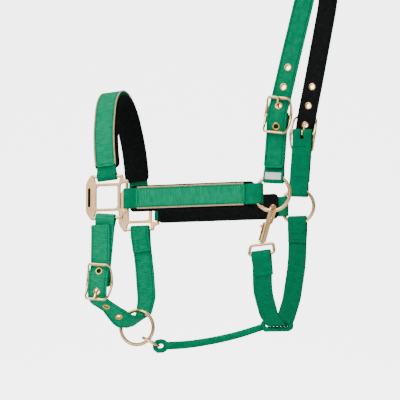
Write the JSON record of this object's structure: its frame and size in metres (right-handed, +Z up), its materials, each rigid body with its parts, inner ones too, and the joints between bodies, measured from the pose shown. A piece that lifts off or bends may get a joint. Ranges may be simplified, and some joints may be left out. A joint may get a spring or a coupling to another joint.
{
  "type": "head halter",
  "caption": "Webbing horse head halter with padded noseband and cheeks, metal squares and rings, buckled crown and chin straps, a snap-hook throat strap and a rope link.",
  "frame": {"origin": "poll seat: the inside of the crown's highest point, in the mid-plane", "axes": "+Z up, -X towards the nose, -Y the near side (the horse's left)"},
  "size_m": [0.3086, 0.163, 0.5036],
  "materials": {
    "webbing_green": "ribbed woven webbing, matt",
    "nubuck_green": "smooth nubuck, matt",
    "felt_black": "dense felt",
    "lining_black": "smooth lining",
    "champagne_metal": "polished light gold",
    "piping_cream": "metallic thread piping",
    "inlay_black": "gloss enamel",
    "label_white": "satin woven tape",
    "rope_green": "braided cord"
  },
  "bodies": {
    "headstall": {"near_square": "champagne_metal", "off_square": "champagne_metal", "near_square_inlay": "inlay_black", "off_square_inlay": "inlay_black", "near_cheek_webbing": "webbing_green", "off_cheek_webbing": "webbing_green", "near_cheek_overlay": "webbing_green", "off_cheek_overlay": "webbing_green", "near_cheek_pad": "felt_black", "off_cheek_pad": "felt_black", "near_cheek_piping": "piping_cream", "off_cheek_piping": "piping_cream", "noseband_webbing": "webbing_green", "noseband_overlay": "webbing_green", "noseband_pad": "felt_black", "noseband_piping": "piping_cream", "chin_billet": "webbing_green", "chin_buckle_frame": "champagne_metal", "chin_strap": "nubuck_green", "chin_eyelets": "champagne_metal", "snap_swivel_eye": "champagne_metal", "throat_strap": "webbing_green", "throat_rope": "rope_green"},
    "crown": {"crown_strap": "nubuck_green", "crown_lining": "lining_black", "crown_near_billet": "webbing_green", "crown_off_billet": "webbing_green", "crown_near_buckle_frame": "champagne_metal", "crown_off_buckle_frame": "champagne_metal", "crown_near_eyelets": "champagne_metal", "crown_off_eyelets": "champagne_metal", "care_label": "label_white"},
    "crown_near_tongue": {"crown_near_buckle_tongue": "champagne_metal"},
    "crown_off_tongue": {"crown_off_buckle_tongue": "champagne_metal"},
    "chin_tongue": {"chin_buckle_tongue": "champagne_metal"},
    "near_ring": {"near_cheek_ring": "champagne_metal"},
    "off_ring": {"off_cheek_ring": "champagne_metal"},
    "chin_ring": {"chin_ring": "champagne_metal"},
    "chin_link": {"chin_link": "champagne_metal"},
    "snap": {"snap_body": "champagne_metal"},
    "bolt": {"snap_bolt": "champagne_metal"}
  },
  "joints": [
    {"name": "crown_swing", "type": "hinge", "parent": "headstall", "child": "crown", "pos_m": [-0.055, 0, -0.309], "axis": [0, 1, 0], "range_deg": [0, 12]},
    {"name": "crown_near_tongue_lift", "type": "hinge", "parent": "crown", "child": "crown_near_tongue", "pos_m": [-0.04744, -0.065, -0.214], "axis": [0.989, 0, -0.1482], "range_deg": [0, 1]},
    {"name": "crown_off_tongue_lift", "type": "hinge", "parent": "crown", "child": "crown_off_tongue", "pos_m": [-0.04744, 0.065, -0.214], "axis": [-0.989, 0, 0.1482], "range_deg": [0, 1]},
    {"name": "chin_tongue_lift", "type": "hinge", "parent": "headstall", "child": "chin_tongue", "pos_m": [-0.277, -0.065, -0.4125], "axis": [-0.9957, 0, 0.0928], "range_deg": [0, 1]},
    {"name": "near_ring_spin", "type": "hinge", "parent": "headstall", "child": "near_ring", "pos_m": [-0.055, -0.065, -0.309], "axis": [0, 1, 0], "continuous": true},
    {"name": "off_ring_spin", "type": "hinge", "parent": "headstall", "child": "off_ring", "pos_m": [-0.055, 0.065, -0.309], "axis": [0, 1, 0], "continuous": true},
    {"name": "chin_ring_spin", "type": "hinge", "parent": "headstall", "child": "chin_ring", "pos_m": [-0.249, 0, -0.465], "axis": [0, 1, 0], "continuous": true},
    {"name": "chin_link_roll", "type": "hinge", "parent": "headstall", "child": "chin_link", "pos_m": [-0.2305, 0, -0.483], "axis": [0.8855, 0, -0.4647], "range_deg": [-10, 10]},
    {"name": "snap_swivel", "type": "hinge", "parent": "headstall", "child": "snap", "pos_m": [-0.06653, -0.0735, -0.36855], "axis": [0.2756, 0, 0.9613], "range_deg": [-8, 20]},
    {"name": "snap_bolt_slide", "type": "slide", "parent": "snap", "child": "bolt", "axis": [-0.2756, 0, -0.9613], "range_m": [0, 0.007], "stiffness_N_per_m": 500, "springref_m": -0.003}
  ]
}
